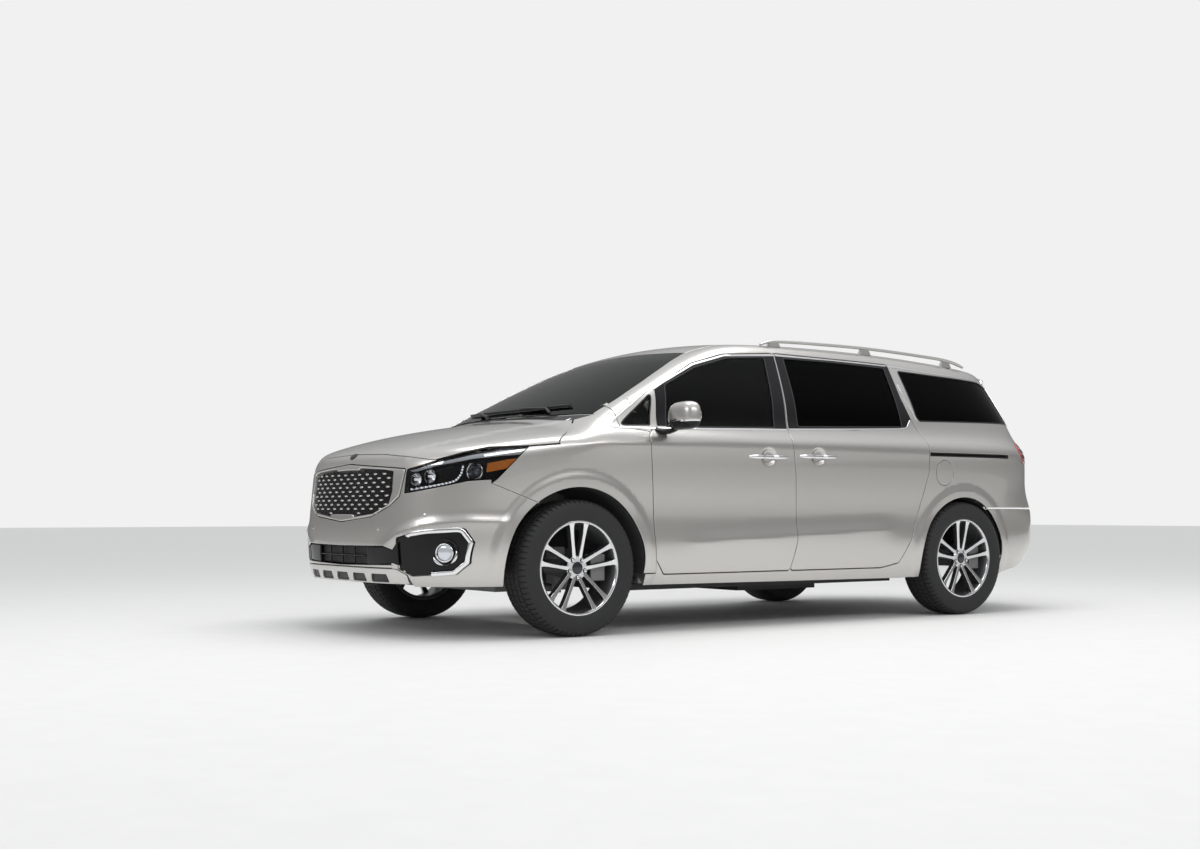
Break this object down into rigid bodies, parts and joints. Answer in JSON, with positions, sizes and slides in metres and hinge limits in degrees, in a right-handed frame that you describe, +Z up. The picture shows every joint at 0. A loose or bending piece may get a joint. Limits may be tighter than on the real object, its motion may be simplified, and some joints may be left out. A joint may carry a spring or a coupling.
{
  "type": "minivan",
  "caption": "Silver minivan with sliding side doors, front swing doors, hood, tailgate, roof rails and twin-spoke alloy wheels; the wheels roll and steer.",
  "frame": {"origin": "on the ground plane, at mid length and mid width, under the body", "axes": "+X towards the nose, +Y to the vehicle left, +Z up"},
  "size_m": [5.1186, 2.45, 1.758],
  "materials": {
    "paint": "silver metallic paint under clear coat",
    "glass": "tinted glass",
    "clear_glass": "lightly tinted glass",
    "lamp": "clear lamp lens over bright reflectors",
    "red_lamp": "red lamp lens",
    "grille": "gloss black moulding",
    "dark_trim": "grained black moulding",
    "silver_trim": "satin silver",
    "interior": "dark grained trim",
    "seat_cloth": "dark seat covering",
    "steel": "black dipped steel",
    "floor_steel": "sealed underbody",
    "cast": "cast iron",
    "alloy": "machined and lacquered alloy",
    "tyre": "tyre rubber"
  },
  "bodies": {
    "body": {"arch_liners": "dark_trim", "body_side_left": "paint", "body_side_right": "paint", "cowl": "dark_trim", "dashboard": "interior", "engine": "cast", "exhaust": "steel", "fenders": "paint", "fixed_side_glass": "glass", "floor_pan": "floor_steel", "fog_lamps": "grille", "front_bumper": "paint", "front_subframe": "steel", "fuel_tank": "steel", "grille": "grille", "headlamps": "lamp", "lower_grille": "dark_trim", "rear_axle": "steel", "rear_bumper": "paint", "roof_panel": "paint", "roof_rails": "silver_trim", "seats": "seat_cloth", "sliding_door_left": "paint", "sliding_door_right": "paint", "tail_lamps": "red_lamp", "windscreen": "clear_glass"},
    "hood": {"hood": "paint"},
    "tailgate": {"tailgate": "paint", "tailgate_glass": "glass"},
    "fuel_flap": {"fuel_flap": "paint"},
    "steering_wheel": {"steering_wheel": "interior"},
    "front_door_left": {"front_door_left": "paint", "front_door_glass_left": "clear_glass"},
    "knuckle_left": {"knuckle_left": "cast"},
    "wheel_front_left": {"tyre_front_left": "tyre", "rim_front_left": "alloy"},
    "wheel_rear_left": {"tyre_rear_left": "tyre", "rim_rear_left": "alloy"},
    "front_door_right": {"front_door_right": "paint", "front_door_glass_right": "clear_glass"},
    "knuckle_right": {"knuckle_right": "cast"},
    "wheel_front_right": {"tyre_front_right": "tyre", "rim_front_right": "alloy"},
    "wheel_rear_right": {"tyre_rear_right": "tyre", "rim_rear_right": "alloy"}
  },
  "joints": [
    {"name": "steer_left", "type": "hinge", "parent": "body", "child": "knuckle_left", "pos_m": [1.6125, 0.74, 0.3705], "axis": [0, 0, 1], "range_deg": [-32, 32]},
    {"name": "spin_front_left", "type": "hinge", "parent": "knuckle_left", "child": "wheel_front_left", "pos_m": [1.6125, 0.8675, 0.3705], "axis": [0, 1, 0], "continuous": true},
    {"name": "spin_rear_left", "type": "hinge", "parent": "body", "child": "wheel_rear_left", "pos_m": [-1.4475, 0.871, 0.3705], "axis": [0, 1, 0], "continuous": true},
    {"name": "steer_right", "type": "hinge", "parent": "body", "child": "knuckle_right", "pos_m": [1.6125, -0.74, 0.3705], "axis": [0, 0, 1], "range_deg": [-32, 32]},
    {"name": "spin_front_right", "type": "hinge", "parent": "knuckle_right", "child": "wheel_front_right", "pos_m": [1.6125, -0.8675, 0.3705], "axis": [0, 1, 0], "continuous": true},
    {"name": "spin_rear_right", "type": "hinge", "parent": "body", "child": "wheel_rear_right", "pos_m": [-1.4475, -0.871, 0.3705], "axis": [0, 1, 0], "continuous": true},
    {"name": "steering_wheel_turn", "type": "hinge", "parent": "body", "child": "steering_wheel", "pos_m": [0.56, 0.38, 0.99], "axis": [-0.9135, 0, 0.4067], "range_deg": [-512, 512]},
    {"name": "hood_lift", "type": "hinge", "parent": "body", "child": "hood", "pos_m": [1.45, 0, 1.199], "axis": [0, -1, 0], "range_deg": [0, 42]},
    {"name": "tailgate_lift", "type": "hinge", "parent": "body", "child": "tailgate", "pos_m": [-2.042, 0, 1.648], "axis": [0, 1, 0], "range_deg": [0, 80]},
    {"name": "front_door_left_swing", "type": "hinge", "parent": "body", "child": "front_door_left", "pos_m": [1.208, 0.967, 0.7], "axis": [0, 0, -1], "range_deg": [0, 66]},
    {"name": "front_door_right_swing", "type": "hinge", "parent": "body", "child": "front_door_right", "pos_m": [1.208, -0.967, 0.7], "axis": [0, 0, 1], "range_deg": [0, 66]},
    {"name": "fuel_flap_swing", "type": "hinge", "parent": "body", "child": "fuel_flap", "pos_m": [-1.136, 0.968, 0.927], "axis": [0, 0, -1], "range_deg": [0, 85]}
  ],
  "couplings": [
    {"joint": "steer_right", "follows": "steer_left", "ratio": 1},
    {"joint": "steering_wheel_turn", "follows": "steer_left", "ratio": 16}
  ]
}
